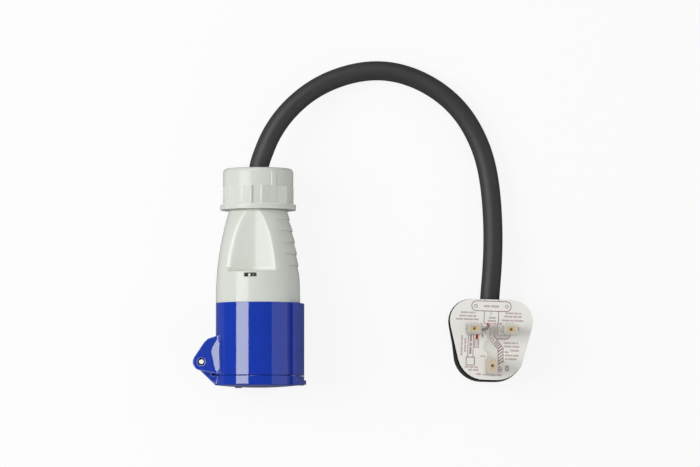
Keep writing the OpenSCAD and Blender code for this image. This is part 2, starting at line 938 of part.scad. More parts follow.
module base_rings() {
    plug_loft([[0, -0.2, 0], [-0.6, 0, 0], [-base_depth, plug_swell, base_taper]]);
}

module plug_base() {
    hollow = -plug_wall;
    color([0.08, 0.08, 0.09])
        at_plug()
            difference() {
                union() {
                    difference() {
                        base_rings();
                        plug_loft([[-face_t, hollow, base_taper], [-base_depth - cut, hollow, base_taper]]);
                    }
                    box_between(
                        [-grip_screw_x - 2.4, grip_y - grip_bar_w / 2, saddle_z],
                        [grip_screw_x + 2.4, grip_y + grip_bar_w / 2, -face_t + eps]
                    );
                }
                for (side = [-1, 1]) {
                    translate([side * line_x, 0, -face_t / 2])
                        cube([pin_w + 2 * seat, pin_t + 2 * seat, face_t + 2 * cut], center = true);
                    translate([side * grip_screw_x, grip_y, 0])
                        rod(saddle_z - cut, -face_t, cover_screw_r + seat);
                }
                translate([0, -pin_pitch, -face_t / 2])
                    cube([pin_t + 2 * seat, earth_w + 2 * seat, face_t + 2 * cut], center = true);
                translate([0, boss_y, 0]) {
                    rod(-face_t - cut, cut, cover_screw_r + seat);
                    rod(-1.6, cut, cover_screw_head_r + 0.3);
                }
                translate([0, face_up - 2 * plug_wall, -cable_depth])
                    rotate([-90, 0, 0])
                        rod(0, 4 * plug_wall, cable_r + 0.15);
            }
}

module plug_cover() {
    floor_z = plug_wall - plug_depth;
    rim = plug_swell - plug_wall;
    color([0.08, 0.08, 0.09])
        at_plug()
            difference() {
                union() {
                    difference() {
                        plug_loft([
                            [-base_depth - 0.1, plug_swell, base_taper],
                            [4.5 - plug_depth, plug_swell - 0.2, plug_taper],
                            [1.6 - plug_depth, plug_swell - 1.4, plug_taper],
                            [0.4 - plug_depth, plug_swell - 3, plug_taper],
                            [-plug_depth, plug_swell - 4.8, plug_taper]
                        ]);
                        plug_loft([
                            [cut - base_depth, rim, base_taper], [5 - plug_depth, rim - 0.2, plug_taper],
                            [floor_z, rim - 3, plug_taper]
                        ]);
                    }
                    translate([0, boss_y, 0])
                        rod(floor_z - eps, -face_t - 0.1, boss_r);
                }
                translate([0, boss_y, 0])
                    rod(floor_z + 6, cut, cover_screw_r + seat);
                translate([0, face_up - 2 * plug_wall, -cable_depth])
                    rotate([-90, 0, 0])
                        rod(0, 4 * plug_wall, cable_r + 0.15);
            }
}

module wiring_card() {
    slack = 0.15;
    color([0.92, 0.91, 0.88])
        at_plug()
            difference() {
                translate(card_shift)
                    linear_extrude(card_t)
                        polygon(plug_outline(-card_inset));
                for (side = [-1, 1])
                    translate([side * line_x, 0, 0])
                        cube([pin_w + 2 * slack, pin_t + 2 * slack, 4 * card_t], center = true);
                translate([0, -pin_pitch, 0])
                    cube([pin_t + 2 * slack, earth_w + 2 * slack, 4 * card_t], center = true);
            }
}

// Flat blade with a bevelled tip, standing on the face
module blade(w, t, length) {
    bevel = 0.6;
    tip = 1.2;
    intersection() {
        rotate([90, 0, 0])
            linear_extrude(t + cut, center = true)
                polygon([
                    [-w / 2, -face_t - eps], [w / 2, -face_t - eps], [w / 2, length - tip],
                    [w / 2 - bevel, length], [bevel - w / 2, length], [-w / 2, length - tip]
                ]);
        rotate([90, 0, 90])
            linear_extrude(w + cut, center = true)
                polygon([
                    [-t / 2, -face_t - eps], [t / 2, -face_t - eps], [t / 2, length - tip],
                    [t / 2 - bevel, length], [bevel - t / 2, length], [-t / 2, length - tip]
                ]);
    }
}

// Terminal block at the foot of a pin: a screw from below clamps a core that enters from one side
module pin_root(wire_angle) {
    difference() {
        box_between([-block_w / 2, -block_w / 2, block_end], [block_w / 2, block_w / 2, -face_t]);
        rod(block_end - cut, wire_z, screw_r + seat);
        rotate([0, 0, wire_angle])
            translate([-2, 0, wire_z])
                rotate([0, 90, 0])
                    rod(0, block_w, core_d / 2 + seat);
    }
}

// The line pin carries a fuse clip in place of a terminal
module plain_root() {
    box_between([-block_w / 2, -block_w / 2, block_end], [block_w / 2, block_w / 2, -face_t]);
}

// A live pin is waisted where its insulating sleeve lies
module live_pin() {
    difference() {
        union() {
            blade(pin_w, pin_t, pin_len);
            children();
        }
        translate([0, 0, -face_t])
            difference() {
                box_between([-pin_w, -pin_t, 0], [pin_w, pin_t, face_t + sleeve_pin_len]);
                box_between(
                    [sleeve_pin_t - pin_w / 2, sleeve_pin_t - pin_t / 2, -cut],
                    [pin_w / 2 - sleeve_pin_t, pin_t / 2 - sleeve_pin_t, face_t + sleeve_pin_len + cut]
                );
            }
    }
}

module pin_line() {
    color("goldenrod")
        at_plug()
            translate([line_x, 0, 0])
                live_pin()
                    plain_root();
}

module pin_neutral() {
    color("goldenrod")
        at_plug()
            translate([-line_x, 0, 0])
                live_pin()
                    pin_root(0);
}

module pin_earth() {
    color("goldenrod")
        at_plug()
            translate([0, -pin_pitch, 0])
                union() {
                    rotate([0, 0, 90])
                        blade(earth_w, pin_t, earth_len);
                    pin_root(90);
                }
}

module pin_sleeves() {
    end = face_t + sleeve_pin_len;
    in_w = pin_w / 2 - sleeve_pin_t;
    in_t = pin_t / 2 - sleeve_pin_t;
    color([0.08, 0.08, 0.09])
        at_plug()
            for (side = [-1, 1])
                translate([side * line_x, 0, -face_t])
                    difference() {
                        box_between([-pin_w / 2, -pin_t / 2, 0], [pin_w / 2, pin_t / 2, end]);
                        box_between([-in_w, -in_t, -cut], [in_w, in_t, end + cut]);
                    }
}

// One cap of the guard: a thin box over a pin, with a vent hole in its end
module guard_cap(w, t, length) {
    out_w = w / 2 + guard_clear + guard_wall;
    out_t = t / 2 + guard_clear + guard_wall;
    box_between([-out_w, -out_t, guard_z], [out_w, out_t, length + guard_clear + guard_wall]);
}

module guard_hollow(w, t, length) {
    in_w = w / 2 + guard_clear;
    in_t = t / 2 + guard_clear;
    box_between([-in_w, -in_t, guard_z - cut], [in_w, in_t, length + guard_clear]);
    rod(length, length + 2 * guard_wall + cut, 1.1);
}

module pin_guard() {
    web_t = 1.4;
    disc_y = -pin_pitch / 2 + 1;
    color([0.9, 0.92, 0.92, 0.4])
        at_plug()
            difference() {
                union() {
                    for (side = [-1, 1])
                        translate([side * line_x, 0, 0])
                            guard_cap(pin_w, pin_t, pin_len);
                    translate([0, -pin_pitch, 0])
                        guard_cap(pin_t, earth_w, earth_len);
                    box_between([-line_x, -web_w / 2, guard_z], [line_x, web_w / 2, guard_z + web_t]);
                    box_between([-web_w / 2, -pin_pitch, guard_z], [web_w / 2, 0, guard_z + web_t]);
                    translate([0, disc_y, 0])
                        rod(guard_z, guard_z + web_t, web_w);
                }
                for (side = [-1, 1])
                    translate([side * line_x, 0, 0])
                        guard_hollow(pin_w, pin_t, pin_len);
                translate([0, -pin_pitch, 0])
                    guard_hollow(pin_t, earth_w, earth_len);
            }
}

// Fuse and its clips

module along_fuse(y) {
    translate([fuse_x, fuse_y + y, fuse_z])
        rotate([-90, 0, 0])
            children();
}

module fuse_tube() {
    color("oldlace")
        at_plug()
            along_fuse(0)
                cylinder(r = fuse_r - 0.5, h = fuse_len - 1.2, center = true);
}

module fuse_caps() {
    half = fuse_len / 2;
    color("silver")
        at_plug()
            along_fuse(0)
                for (side = [0, 180])
                    rotate([side, 0, 0])
                        difference() {
                            rod(half - fuse_cap_len, half, fuse_r);
                            rod(half - fuse_cap_len - cut, half - 0.55, fuse_r - 0.5 + seat);
                        }
}

// Spring clip round a fuse cap, standing on the line pin or on the line terminal
module fuse_clip() {
    inner = fuse_r + seat;
    difference() {
        union() {
            cylinder(r = inner + clip_t, h = clip_w, center = true);
            translate([0, -(inner + clip_t) / 2, 0])
                cube([2 * (inner + clip_t), inner + clip_t, clip_w], center = true);
        }
        cylinder(r = inner, h = clip_w + cut, center = true);
        translate([0, inner + clip_t, 0])
            cube([2 * inner - 1.4, 2 * (inner + clip_t), clip_w + cut], center = true);
    }
}

// One clip stands on the line pin, the other on a post with the line terminal beside it
module fuse_clips() {
    clip_foot = fuse_z + fuse_r + seat + clip_t;
    half = line_term_half;
    color("darkgoldenrod")
        at_plug()
            union() {
                for (side = [-1, 1])
                    along_fuse(side * clip_reach)
                        fuse_clip();
                box_between(
                    [fuse_x - 2, fuse_y + clip_reach - clip_w / 2, clip_foot - eps],
                    [fuse_x + 2, fuse_y + clip_reach + clip_w / 2, block_end - seat]
                );
                box_between(
                    [fuse_x - 3, line_term_y - clip_w / 2, clip_foot - eps],
                    [fuse_x + 3, line_term_y + clip_w / 2, -face_t - seat]
                );
                translate([line_term_x, line_term_y, line_term_z])
                    difference() {
                        box_between([-half, -clip_w / 2, -2 * half], [half + 0.2, clip_w / 2, half]);
                        rotate([90, 0, 0])
                            cylinder(r = core_d / 2 + seat, h = clip_w + cut, center = true);
                        rod(-2 * half - cut, 0, screw_r + seat);
                    }
            }
}

// Cord grip and plug screws

module cord_grip() {
    color("sienna")
        at_plug()
            difference() {
                box_between(
                    [-grip_screw_x - 2.6, grip_y - grip_bar_w / 2, grip_bar_z - grip_bar_t],
                    [grip_screw_x + 2.6, grip_y + grip_bar_w / 2, grip_bar_z]
                );
                for (side = [-1, 1])
                    translate([side * grip_screw_x, grip_y, 0])
                        rod(grip_bar_z - grip_bar_t - cut, grip_bar_z + cut, cover_screw_r + seat);
            }
}

module cord_grip_screws() {
    length = -face_t - 1 - grip_bar_z + grip_bar_t;
    color("silver")
        at_plug()
            for (side = [-1, 1])
                translate([side * grip_screw_x, grip_y, grip_bar_z - grip_bar_t - seat])
                    mirror([0, 0, 1])
                        slotted_screw(cover_screw_r, length, 2.6, 1.4);
}

module plug_screws() {
    color("silver")
        at_plug()
            for (p = [
                [-line_x, 0, block_end, wire_z, 1.6],
                [0, -pin_pitch, block_end, wire_z, 1.6],
                [line_term_x, line_term_y, line_term_z - 2 * line_term_half, line_term_z, 1.1]
            ])
                translate([p[0], p[1], p[2] - seat])
                    mirror([0, 0, 1])
                        slotted_screw(screw_r, p[3] - p[2] - core_d / 2 - seat, screw_r * p[4], 1.8);
}

module cover_screw() {
    color("silver")
        at_plug()
            translate([0, boss_y, -1.6 + seat])
                slotted_screw(cover_screw_r, plug_depth - plug_wall - 8, cover_screw_head_r, 1.4);
}

front_housing();
hinge_ear_upper();
hinge_ear_lower();
rear_housing();
gland_nut();
clamp_ring();
cable_seal();
contact_carrier();
contact_plate();
contact_line();
contact_neutral();
contact_earth();
connector_screws();
release_clip();
lid();
lid_seal();
hinge_pin();
lid_spring();
cable();
connector_core_line();
connector_core_neutral();
connector_core_earth();
plug_core_line();
plug_core_neutral();
plug_core_earth();
plug_base();
plug_cover();
wiring_card();
pin_line();
pin_neutral();
pin_earth();
pin_sleeves();
pin_guard();
fuse_tube();
fuse_caps();
fuse_clips();
cord_grip();
cord_grip_screws();
plug_screws();
cover_screw();
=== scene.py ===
from math import cos, pi, radians, sin, sqrt, tan

import bpy
from mathutils import Matrix, Vector


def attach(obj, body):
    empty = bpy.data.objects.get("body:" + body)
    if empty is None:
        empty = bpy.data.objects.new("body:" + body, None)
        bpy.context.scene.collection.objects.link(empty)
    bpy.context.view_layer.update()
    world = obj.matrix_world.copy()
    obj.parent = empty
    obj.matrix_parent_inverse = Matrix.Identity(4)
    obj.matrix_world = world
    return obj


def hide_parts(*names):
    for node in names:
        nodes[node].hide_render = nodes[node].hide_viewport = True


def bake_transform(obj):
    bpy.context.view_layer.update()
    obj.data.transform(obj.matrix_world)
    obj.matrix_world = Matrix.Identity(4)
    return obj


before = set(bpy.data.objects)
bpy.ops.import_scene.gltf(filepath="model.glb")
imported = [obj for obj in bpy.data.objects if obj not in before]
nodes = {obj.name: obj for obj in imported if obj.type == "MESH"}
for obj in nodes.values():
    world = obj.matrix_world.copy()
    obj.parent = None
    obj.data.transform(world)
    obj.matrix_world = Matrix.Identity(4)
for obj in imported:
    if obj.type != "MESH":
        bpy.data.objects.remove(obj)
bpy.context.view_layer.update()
scene = bpy.context.scene
scene.view_settings.view_transform = "Standard"

# Values shared with the part's source, in millimetres

ROLL = radians(12)
CONNECTOR = (5.0497, -59.05)
SLEEVE_R = 25.5
LEDGE = 62.5
REAR_END = 100.0
HINGE = (-32.0, 8.2)
HINGE_PIN_R = 1.7
HINGE_PIN_END = 14.6
EAR_HALF = 15.0
RECESS_R = 2.3
SPRING_WIRE_R = 0.5
SPRING_R = 2.9
SPRING_HALF = 3.125
SPRING_TURNS = 5
PLUG = (146.2997, -31.25, 27.0)
PLUG_TURN = radians(-1.5)
PIN_PITCH = 22.2
PIN_LEN = 17.7
EARTH_LEN = 22.7
CARD_TOP = 0.4
CABLE_R = 5.9
CABLE_DEPTH = 13

# Middle and length of each plug pin, in the plug's own millimetres
PIN_TIPS = (
    (-PIN_PITCH / 2, 0, PIN_LEN),
    (PIN_PITCH / 2, 0, PIN_LEN),
    (0, -PIN_PITCH, EARTH_LEN),
)

# How far small shapes of the scene stand off the solid that they lie on
STAND_OFF = 0.02


def connector_point(x, y, z):
    """Connector's own millimetres to the shared frame in metres."""
    return Vector((
        CONNECTOR[0] + x * cos(ROLL) + y * sin(ROLL),
        CONNECTOR[1] + z,
        SLEEVE_R + x * sin(ROLL) - y * cos(ROLL),
    )) / 1000


def connector_place(point):
    """Shared frame in metres back to the connector's own millimetres."""
    x = point.x * 1000 - CONNECTOR[0]
    y = point.y * 1000 - CONNECTOR[1]
    z = point.z * 1000 - SLEEVE_R
    return Vector((x * cos(ROLL) + z * sin(ROLL), x * sin(ROLL) - z * cos(ROLL), y))


def plug_point(x, y, z):
    """Plug's own millimetres to the shared frame in metres."""
    return Vector((
        PLUG[0] + x * cos(PLUG_TURN) - y * sin(PLUG_TURN),
        PLUG[1] + x * sin(PLUG_TURN) + y * cos(PLUG_TURN),
        PLUG[2] + z,
    )) / 1000


def link(obj):
    scene.collection.objects.link(obj)
    return obj


def add_mesh(name, verts, faces, material, smooth=False):
    """Object made of points in metres and faces."""
    mesh = bpy.data.meshes.new(name)
    mesh.from_pydata(verts, [], faces)
    if smooth:
        for face in mesh.polygons:
            face.use_smooth = True
    mesh.materials.append(material)
    return link(bpy.data.objects.new(name, mesh))


def facing(at, back):
    """Place of a camera or a lamp that looks away from back, with +Y at its top."""
    right = Vector((0, 1, 0)).cross(back).normalized()
    turn = Matrix((right, back.cross(right), back)).transposed()
    return Matrix.Translation(at) @ turn.to_4x4()


# Camera

CAMERA_AT = Vector((-0.050, -0.109, 2.5))
CAMERA_TO = Vector((0.0609, 0.0273, 0.0257))
FOCAL_PX = 4082.6
PICTURE_W = 700
SENSOR_W = 36


def add_camera():
    data = bpy.data.cameras.new("camera")
    data.sensor_fit = "HORIZONTAL"
    data.sensor_width = SENSOR_W
    data.lens = FOCAL_PX * SENSOR_W / PICTURE_W
    data.clip_start = 0.01
    data.clip_end = 50
    camera = link(bpy.data.objects.new("camera", data))
    camera.matrix_world = facing(CAMERA_AT, (CAMERA_AT - CAMERA_TO).normalized())
    scene.camera = camera


add_camera()


# Shader nodes

PAINTED_HIGHLIGHT_SAMPLES = 16
CORNER_SAMPLES = 10
GRAIN_SCALE = 900
GRAIN_DEPTH = 0.0002


def srgb(r, g, b):
    """Screen colour in 0 to 255 to the shader's linear colour."""
    out = []
    for v in (r, g, b):
        v /= 255
        out.append(v / 12.92 if v <= 0.04045 else ((v + 0.055) / 1.055) ** 2.4)
    return (*out, 1)


def add_node(tree, kind, **inputs):
    node = tree.nodes.new(kind)
    for name, value in inputs.items():
        node.inputs[name.replace("_", " ")].default_value = value
    return node


def set_or_link(tree, value, socket):
    """Give an input a number, or link it to another node's output."""
    if isinstance(value, (int, float)):
        socket.default_value = value
    else:
        tree.links.new(value, socket)


def add_math(tree, kind, *values):
    """Math node whose inputs are numbers or other nodes' outputs."""
    node = tree.nodes.new("ShaderNodeMath")
    node.operation = kind
    for socket, value in zip(node.inputs, values):
        set_or_link(tree, value, socket)
    return node.outputs["Value"]


def mix_color(tree, share, plain, color):
    """Colour that goes from plain to another one as share goes from zero to one."""
    mix = add_node(tree, "ShaderNodeMixRGB", Color2=color)
    tree.links.new(share, mix.inputs["Fac"])
    tree.links.new(plain, mix.inputs["Color1"])
    return mix.outputs["Color"]


def box_mask(tree, place, x0, x1, y0, y1):
    """One inside a box of the part, given in millimetres, and zero outside."""
    split = tree.nodes.new("ShaderNodeSeparateXYZ")
    tree.links.new(place.outputs["Object"], split.inputs["Vector"])
    mask = 1.0
    for axis, low, high in (("X", x0, x1), ("Y", y0, y1)):
        for kind, limit in (("GREATER_THAN", low), ("LESS_THAN", high)):
            side = add_math(tree, kind, split.outputs[axis], limit / 1000)
            mask = add_math(tree, "MULTIPLY", side, mask)
    return mask


def corner_radius(tree, place, edge, boxes):
    """Corner radius in metres: edge, or another radius inside a box (radius, x0, x1, y0, y1).
    What comes in is in millimetres."""
    total = edge / 1000
    for radius, *box in boxes:
        mask = box_mask(tree, place, *box)
        total = add_math(tree, "MULTIPLY_ADD", mask, (radius - edge) / 1000, total)
    return total


def rounded_normal(tree, radius, samples):
    """Normal that makes sharp corners look round."""
    rounded = tree.nodes.new("ShaderNodeBevel")
    rounded.samples = samples
    set_or_link(tree, radius, rounded.inputs["Radius"])
    return rounded.outputs["Normal"]


def box_tint(tree, place, plain, color, box):
    """Colour that is another one inside one box."""
    return mix_color(tree, box_mask(tree, place, *box), plain, color)


def painted_highlight_tint(tree, place, plain, color, gain, box):
    """Painted highlight: colour that turns to a lighter one near the corners in one box."""
    rounded = rounded_normal(tree, corner_radius(tree, place, 0, [box]), PAINTED_HIGHLIGHT_SAMPLES)
    flat = tree.nodes.new("ShaderNodeNewGeometry")
    turn = tree.nodes.new("ShaderNodeVectorMath")
    turn.operation = "DOT_PRODUCT"
    tree.links.new(rounded, turn.inputs[0])
    tree.links.new(flat.outputs["True Normal"], turn.inputs[1])
    bend = add_math(tree, "SUBTRACT", 1.0, turn.outputs["Value"])
    share = tree.nodes.new("ShaderNodeClamp")
    tree.links.new(add_math(tree, "MULTIPLY", bend, gain), share.inputs["Value"])
    return mix_color(tree, share.outputs["Result"], plain, color)


def cloudy_tint(tree, cloud, color, mottle):
    """Colour that is a little darker and lighter in clouds."""
    tint = tree.nodes.new("ShaderNodeValToRGB")
    low, high = tint.color_ramp.elements
    low.position, high.position = 0.3, 0.7
    low.color = (*(max(c * (1 - mottle), 0) for c in color[:3]), 1)
    high.color = (*(min(c * (1 + mottle), 1) for c in color[:3]), 1)
    tree.links.new(cloud, tint.inputs["Fac"])
    return tint.outputs["Color"]


def uneven_gloss(tree, cloud, rough):
    """Roughness that goes a tenth down and up in the same clouds."""
    gloss = add_node(tree, "ShaderNodeMapRange", To_Min=rough * 0.9, To_Max=rough * 1.1)
    tree.links.new(cloud, gloss.inputs["Value"])
    return gloss.outputs["Result"]


def grainy_normal(tree, place, normal, grain):
    """Normal with a fine grain, on top of another normal if there is one."""
    fine = add_node(tree, "ShaderNodeTexNoise", Scale=GRAIN_SCALE, Detail=3.0)
    tree.links.new(place.outputs["Object"], fine.inputs["Vector"])
    bump = add_node(tree, "ShaderNodeBump", Strength=grain, Distance=GRAIN_DEPTH)
    tree.links.new(fine.outputs["Fac"], bump.inputs["Height"])
    if normal:
        tree.links.new(normal, bump.inputs["Normal"])
    return bump.outputs["Normal"]


def surface(name, color, rough=0.4, specular=0.5, metallic=0.0, mottle=0.03, mottle_scale=60,
            grain=0.0, edge=0.0, alpha=1.0, softer=(), sheen=(1, 1, 1), rims=(), bands=(),
            windows=()):
    """Principled surface with a faint cloudy tint, uneven gloss and a fine grain.
    edge rounds the look of sharp corners, and softer lists boxes where they are rounded more.
    sheen tints the reflection. Each painted highlight (color, gain, box) lightens the round corners
    in one box, each band (color, box) paints shade over all of one box, and each window (alpha,
    box) is a clearer part of a clear surface."""
    material = bpy.data.materials.new(name)
    material.use_nodes = True
    tree = material.node_tree
    shader = tree.nodes["Principled BSDF"]
    shader.inputs["Metallic"].default_value = metallic
    shader.inputs["Specular IOR Level"].default_value = specular
    shader.inputs["Specular Tint"].default_value = (*sheen, 1)
    place = tree.nodes.new("ShaderNodeTexCoord")
    cover = alpha
    for clear, box in windows:
        mask = box_mask(tree, place, *box)
        cover = add_math(tree, "MULTIPLY_ADD", mask, clear - alpha, cover)
    set_or_link(tree, cover, shader.inputs["Alpha"])
    noise = add_node(tree, "ShaderNodeTexNoise", Scale=mottle_scale, Detail=4.0, Roughness=0.6)
    tree.links.new(place.outputs["Object"], noise.inputs["Vector"])
    cloud = noise.outputs["Fac"]
    tinted = cloudy_tint(tree, cloud, color, mottle)
    for rim in rims:
        tinted = painted_highlight_tint(tree, place, tinted, *rim)
    for band in bands:
        tinted = box_tint(tree, place, tinted, *band)
    tree.links.new(tinted, shader.inputs["Base Color"])
    tree.links.new(uneven_gloss(tree, cloud, rough), shader.inputs["Roughness"])
    normal = None
    if edge:
        normal = rounded_normal(tree, corner_radius(tree, place, edge, softer), CORNER_SAMPLES)
    if grain:
        normal = grainy_normal(tree, place, normal, grain)
    if normal:
        tree.links.new(normal, shader.inputs["Normal"])
    return material


# Boxes of the part where a surface differs, in millimetres: x0, x1, y0, y1.
# Where corners are rounded in a box, their radius stands before it.

FAR = 100
MOUTH_Y = CONNECTOR[1]
LEDGE_Y = CONNECTOR[1] + LEDGE
REAR_Y = CONNECTOR[1] + REAR_END
# Painted shade in the crease where the key block's top meets the sleeve
KEY_CORNER_PAINTED_SHADE = (0, 25.6, -FAR, FAR)
LID_FRONT = (1.2, -FAR, FAR, -FAR, MOUTH_Y - 3)
# Painted highlight on the round corners at the ears' outer edges
EAR_PAINTED_HIGHLIGHT = (1.4, -FAR, -21, -FAR, FAR)
# Painted highlight on the round corners of the lid's arm
ARM_PAINTED_HIGHLIGHT = (1.6, -FAR, -21, -FAR, MOUTH_Y + 4)
# Painted highlights on the round corners at the scoop's left and right edges
SCOOP_LEFT_PAINTED_HIGHLIGHT = (5, -FAR, 1.5, LEDGE_Y + 2.5, REAR_Y - 1)
SCOOP_RIGHT_PAINTED_HIGHLIGHT = (6, 1.5, 22, LEDGE_Y + 1.5, REAR_Y - 1)
GRIP_SIDE = (1.6, 22, FAR, LEDGE_Y, REAR_Y - 1)
# Painted highlight on the round corners of the nut's pads
NUT_PAD_PAINTED_HIGHLIGHT = (1.0, -FAR, FAR, REAR_Y + 2, REAR_Y + 22)

# Half the width and height of a window over a lying and a standing pin
LYING_TIP = (2.65, 1.6)
STANDING_TIP = (1.5, 3.5)


def tip_boxes():
    """Boxes around the flat ends of the three pins."""
    out = []
    for (x, y, _), (half_x, half_y) in zip(PIN_TIPS, (LYING_TIP, LYING_TIP, STANDING_TIP)):
        at = plug_point(x, y, 0) * 1000
        out.append((at.x - half_x, at.x + half_x, at.y - half_y, at.y + half_y))
    return out


# Materials

BLUE_COLOR = srgb(24, 57, 172)
GREY_COLOR = srgb(211, 215, 207)
MILKY_COLOR = srgb(228, 224, 214)


def blue(name, color=BLUE_COLOR, **more):
    return surface(name, color, rough=0.075, specular=0.9, grain=0.015, sheen=(1, 1, 0.7), **more)


def grey(name, **more):
    return surface(name, GREY_COLOR, specular=0.3, mottle=0.012, **more)


def milky(name, **more):
    return surface(name, MILKY_COLOR, mottle=0.02, grain=0.05, **more)


def ink(name, color, rough=0.5, mottle=0.1):
    return surface(name, color, rough=rough, mottle=mottle, mottle_scale=800)


# Painted highlight, a lighter blue, on the round corners of the ears' outer edges
BLUE = blue("blue_plastic", edge=0.5, rims=[(srgb(150, 162, 222), 5, EAR_PAINTED_HIGHLIGHT)])
BLUE_HOUSING = blue("blue_housing_plastic", edge=0.5)
# Key block's top: a violet blue that paints the fill lamp's reflection, and a darker band that
# paints the shade in the crease by the sleeve
BLUE_KEY_PAINTED_REFLECTION = blue("blue_key_painted_reflection", srgb(56, 69, 153), edge=0.5,
                bands=[(srgb(22, 40, 132), KEY_CORNER_PAINTED_SHADE)])
# Painted highlight, a lighter blue, on the round corners of the lid's arm
BLUE_LID = blue("blue_lid_plastic", edge=0.3, softer=[LID_FRONT],
                rims=[(srgb(130, 143, 214), 5, ARM_PAINTED_HIGHLIGHT)])
BLUE_RAMP = blue("blue_ramp_plastic")
# Near-black painted shade for the sunk ring around the hinge pin and for the thin ring on the pin's
# ends
SHADED_RECESS = surface("shaded_recess", srgb(9, 10, 22), rough=0.6, specular=0.1, mottle=0.1)
# Painted highlights, near white, on the round corners at the scoop's two edges
GREY = grey("grey_plastic", rough=0.09, grain=0.03, edge=0.8, softer=[GRIP_SIDE],
            rims=[(srgb(246, 248, 243), 22, SCOOP_LEFT_PAINTED_HIGHLIGHT), (srgb(226, 229, 222), 16, SCOOP_RIGHT_PAINTED_HIGHLIGHT)])
# Painted highlight, near white, on the round corners of the nut's pads
GREY_NUT = grey("grey_nut_plastic", rough=0.2, grain=0.05, edge=0.6,
                rims=[(srgb(240, 242, 236), 4, NUT_PAD_PAINTED_HIGHLIGHT)])
BLACK = surface("black_plastic", srgb(7, 7, 8), rough=0.35, specular=0.2, mottle=0.08, grain=0.1,
                edge=0.6)
RUBBER = surface("cable_rubber", srgb(55, 55, 57), rough=0.52, specular=0.45, mottle=0.06,
                 mottle_scale=25, grain=0.2)
SEAL = surface("black_rubber", srgb(34, 34, 35), rough=0.6, specular=0.3, mottle=0.08, grain=0.2)
BRASS = surface("brass", srgb(248, 218, 168), rough=0.42, metallic=0.2, mottle=0.06,
                mottle_scale=200, grain=0.08, edge=0.2)
BRASS_PALE = surface("pale_brass", srgb(222, 210, 186), rough=0.5, metallic=0.1, mottle=0.04,
                     mottle_scale=200, grain=0.08)
# Painted shade: the dark disc on each pin end under the guard's vent hole
BRASS_PAINTED_SHADE = surface("brass_painted_shade", srgb(150, 126, 54), rough=0.5, metallic=0.5, mottle=0.1,
                     mottle_scale=400, grain=0.1)
STEEL = surface("steel", srgb(186, 186, 184), rough=0.3, metallic=1.0, mottle=0.05,
                mottle_scale=300, grain=0.1, edge=0.1)
# Painted shade: a darker, yellowish steel on the right half of the clip deep in the release slot
STEEL_PAINTED_SHADE = surface("steel_painted_shade", srgb(112, 112, 96), rough=0.6, metallic=0.3, mottle=0.08,
                     mottle_scale=300, grain=0.1)
CARD = surface("white_card", srgb(242, 241, 236), rough=0.4, specular=0.35, mottle=0.012,
               mottle_scale=120, grain=0.04)
MILKY = milky("milky_plastic", rough=0.25, specular=0.4, edge=0.6, alpha=0.5,
              windows=[(0.15, box) for box in tip_boxes()])
MILKY_WALL = milky("milky_plastic_wall", rough=0.3, specular=0.3, edge=0.6, alpha=0.42)
MILKY_WEB = milky("milky_plastic_web", rough=0.3, specular=0.3, alpha=0.1)
CERAMIC = surface("white_ceramic", srgb(230, 226, 214), rough=0.5, grain=0.1)
FIBRE = surface("brown_fibre", srgb(120, 78, 46), rough=0.7, mottle=0.15, mottle_scale=300,
                grain=0.3)
CORE_BROWN = surface("core_brown", srgb(105, 62, 34), mottle=0.05)
CORE_BLUE = surface("core_blue", srgb(46, 92, 190), mottle=0.05)
CORE_GREEN = surface("core_green", srgb(120, 165, 52), mottle=0.2, mottle_scale=120)
INK = ink("card_ink", srgb(138, 80, 92))
INK_MID = ink("card_ink_mid", srgb(182, 152, 160), mottle=0.08)
INK_PALE = ink("card_ink_pale", srgb(198, 180, 182), mottle=0.05)
INK_RED = ink("card_ink_red", srgb(186, 40, 38), rough=0.45)

FINISH = {
    BLUE: ("hinge_ear_upper", "hinge_ear_lower"),
    BLUE_HOUSING: ("front_housing",),
    BLUE_LID: ("lid",),
    GREY: ("rear_housing",),
    GREY_NUT: ("gland_nut", "clamp_ring"),
    BLACK: ("contact_carrier", "contact_plate", "plug_base", "plug_cover", "pin_sleeves"),
    SEAL: ("cable_seal", "lid_seal"),
    RUBBER: ("cable",),
    BRASS: ("contact_line", "contact_neutral", "contact_earth", "pin_line", "pin_neutral",
            "pin_earth", "fuse_clips"),
    STEEL: ("connector_screws", "release_clip", "hinge_pin", "lid_spring", "fuse_caps",
            "cord_grip_screws", "plug_screws", "cover_screw"),
    CARD: ("wiring_card",),
    MILKY_WALL: ("pin_guard",),
    CERAMIC: ("fuse_tube",),
    FIBRE: ("cord_grip",),
    CORE_BROWN: ("connector_core_line", "plug_core_line"),
    CORE_BLUE: ("connector_core_neutral", "plug_core_neutral"),
    CORE_GREEN: ("connector_core_earth", "plug_core_earth"),
}
for material, names in FINISH.items():
    for name in names:
        mesh = nodes[name].data
        mesh.materials.clear()
        mesh.materials.append(material)


# Second materials on some faces of a node, among them painted shade and a painted reflection

LEVEL = 0.7
NEARLY_LEVEL = 0.9
PIN_BEVEL = 1.3
KEY_X = 0.0225
SHADED_CLIP_X = 0.3


def second_finish(node, material, picked):
    """Another material on the faces of a node that picked says yes to."""
    mesh = nodes[node].data
    mesh.materials.append(material)
    for face in mesh.polygons:
        if picked(face):
            face.material_index = len(mesh.materials) - 1


def in_recess(face):
    """Face in the sunk ring around the end of the hinge pin, where shade is painted."""
    place = connector_place(face.center)
    away = sqrt((place.x - HINGE[0]) ** 2 + (place.z - HINGE[1]) ** 2)
    return away < RECESS_R + STAND_OFF and abs(place.y) < EAR_HALF - 0.1


def on_key(face):
    """Face on top of the key block, at the right of the sleeve, where the fill lamp's reflection is
    painted.
    """
    return face.normal.z > NEARLY_LEVEL and face.center.x > KEY_X


def on_shaded_clip_half(face):
    """Face on the right half of the clip in the release slot, where the slot's shade is painted."""
    return connector_place(face.center).x > SHADED_CLIP_X


